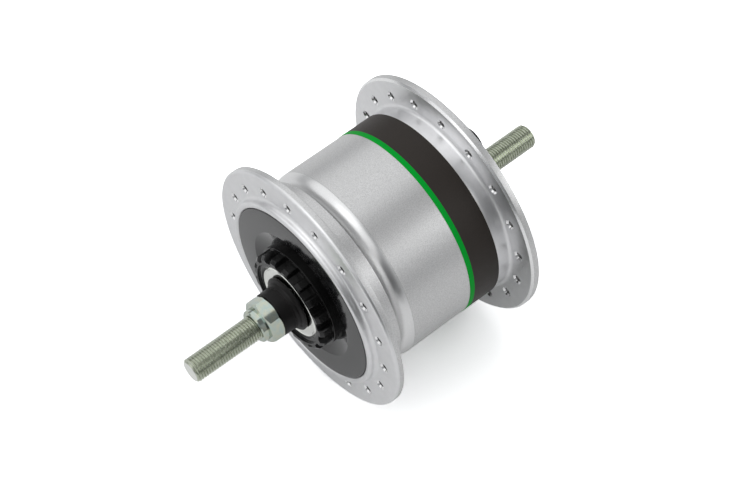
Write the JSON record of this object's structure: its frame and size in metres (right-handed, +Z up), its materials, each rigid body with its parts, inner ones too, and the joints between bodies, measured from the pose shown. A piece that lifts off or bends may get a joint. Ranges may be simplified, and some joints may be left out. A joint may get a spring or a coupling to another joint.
{
  "type": "hub dynamo",
  "caption": "Front bicycle hub with a claw-pole generator inside, drilled spoke flanges, a splined ring for a brake and a lamp terminal.",
  "frame": {"origin": "on the axle, midway between its two ends; the middle of the fork lies 2 mm from it, towards -Y", "axes": "+Y along the axle towards the splined brake side, which is the bicycle's left; +Z up; +X the way the bicycle travels; the wheel turns about Y"},
  "size_m": [0.0936, 0.1484, 0.0936],
  "materials": {
    "axle_steel": "zinc plated thread",
    "nut_zinc": "bright zinc",
    "bearing_steel": "ground",
    "rubber": "matte",
    "terminal_plastic": "moulded",
    "contact_brass": "plain",
    "wire_red": "insulated wire",
    "core_steel": "plain",
    "bobbin_plastic": "moulded",
    "coil_copper": "enamelled wire",
    "coil_tape": "tape",
    "shell_silver": "silver paint with a fine grain",
    "flange_silver": "satin",
    "plate_black": "gloss",
    "spline_black": "gloss",
    "dust_cap_steel": "satin",
    "magnet_ferrite": "ferrite",
    "label_dark": "printed film",
    "label_green": "printed film"
  },
  "bodies": {
    "axle_set": {"axle": "axle_steel", "left_lock_nut": "nut_zinc", "left_cone": "bearing_steel", "left_boot": "rubber", "right_cone": "bearing_steel", "right_seal": "rubber", "terminal_block": "terminal_plastic", "terminal_contacts": "contact_brass", "lead_wire": "wire_red", "earth_washer": "nut_zinc", "right_lock_nut": "nut_zinc", "stator_nut": "nut_zinc", "stator_core_left": "core_steel", "stator_core_right": "core_steel", "core_tube": "core_steel", "coil_bobbin": "bobbin_plastic", "coil_winding": "coil_copper", "coil_tape": "coil_tape"},
    "hub_body": {"hub_shell": "shell_silver", "right_flange": "flange_silver", "brake_side_plate": "plate_black", "brake_spline_ring": "spline_black", "left_bearing_cup": "bearing_steel", "left_dust_cap": "dust_cap_steel", "right_bearing_cup": "bearing_steel", "right_dust_cap": "dust_cap_steel", "rotor_yoke": "core_steel", "rotor_magnets": "magnet_ferrite", "shell_seal": "rubber", "label_band": "label_dark", "label_stripe": "label_green"},
    "left_cage": {"left_balls": "bearing_steel", "left_ball_cage": "contact_brass"},
    "right_cage": {"right_balls": "bearing_steel", "right_ball_cage": "contact_brass"}
  },
  "joints": [
    {"name": "hub_spin", "type": "hinge", "parent": "axle_set", "child": "hub_body", "pos_m": [0, 0, 0], "axis": [0, 1, 0], "continuous": true},
    {"name": "left_cage_spin", "type": "hinge", "parent": "axle_set", "child": "left_cage", "pos_m": [0, 0.0266, 0], "axis": [0, 1, 0], "continuous": true},
    {"name": "right_cage_spin", "type": "hinge", "parent": "axle_set", "child": "right_cage", "pos_m": [0, -0.0343, 0], "axis": [0, 1, 0], "continuous": true}
  ],
  "couplings": [
    {"joint": "left_cage_spin", "follows": "hub_spin", "ratio": 0.588},
    {"joint": "right_cage_spin", "follows": "hub_spin", "ratio": 0.588}
  ]
}
